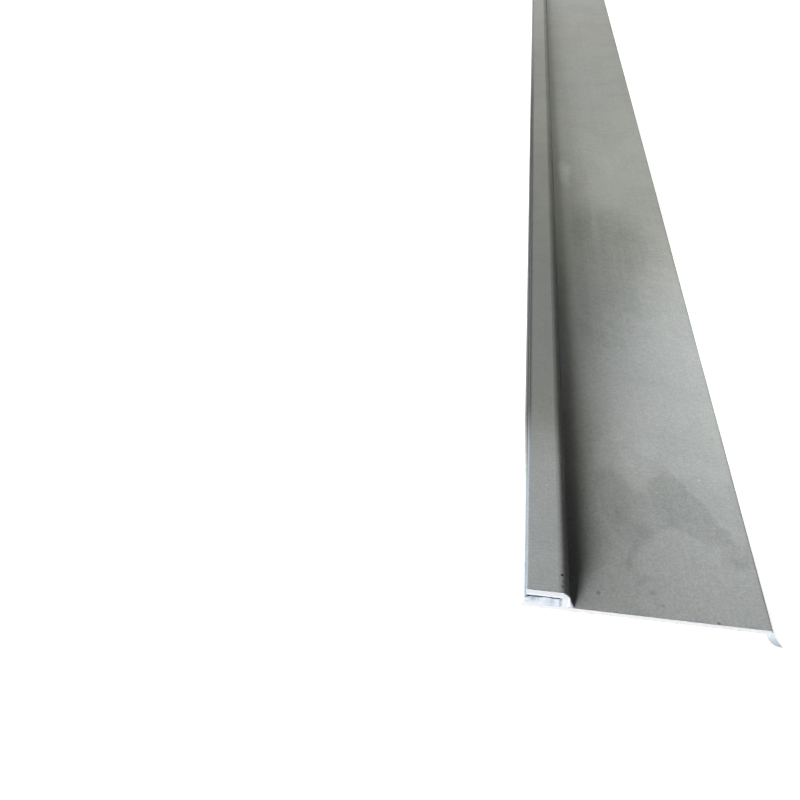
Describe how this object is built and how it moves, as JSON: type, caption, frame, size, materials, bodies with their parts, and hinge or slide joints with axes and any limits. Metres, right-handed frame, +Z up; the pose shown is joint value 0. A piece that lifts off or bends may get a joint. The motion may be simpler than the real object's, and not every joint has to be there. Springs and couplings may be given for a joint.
{
  "type": "pool liner rail",
  "caption": "Straight length of extruded rigid PVC rail: a flat fixing plate with a C-shaped channel along one edge that holds the bead of a pool liner.",
  "frame": {"origin": "middle of the plate's flat back, at mid-length and mid-width, on the surface that the rail lies on", "axes": "+X across the rail, away from the bead channel, whose mouth faces -X; +Y along the rail; +Z up from the plate's back"},
  "size_m": [0.08, 2, 0.0092],
  "materials": {
    "grey_pvc": "matte"
  },
  "bodies": {
    "root": {"liner_rail": "grey_pvc"}
  },
  "joints": []
}
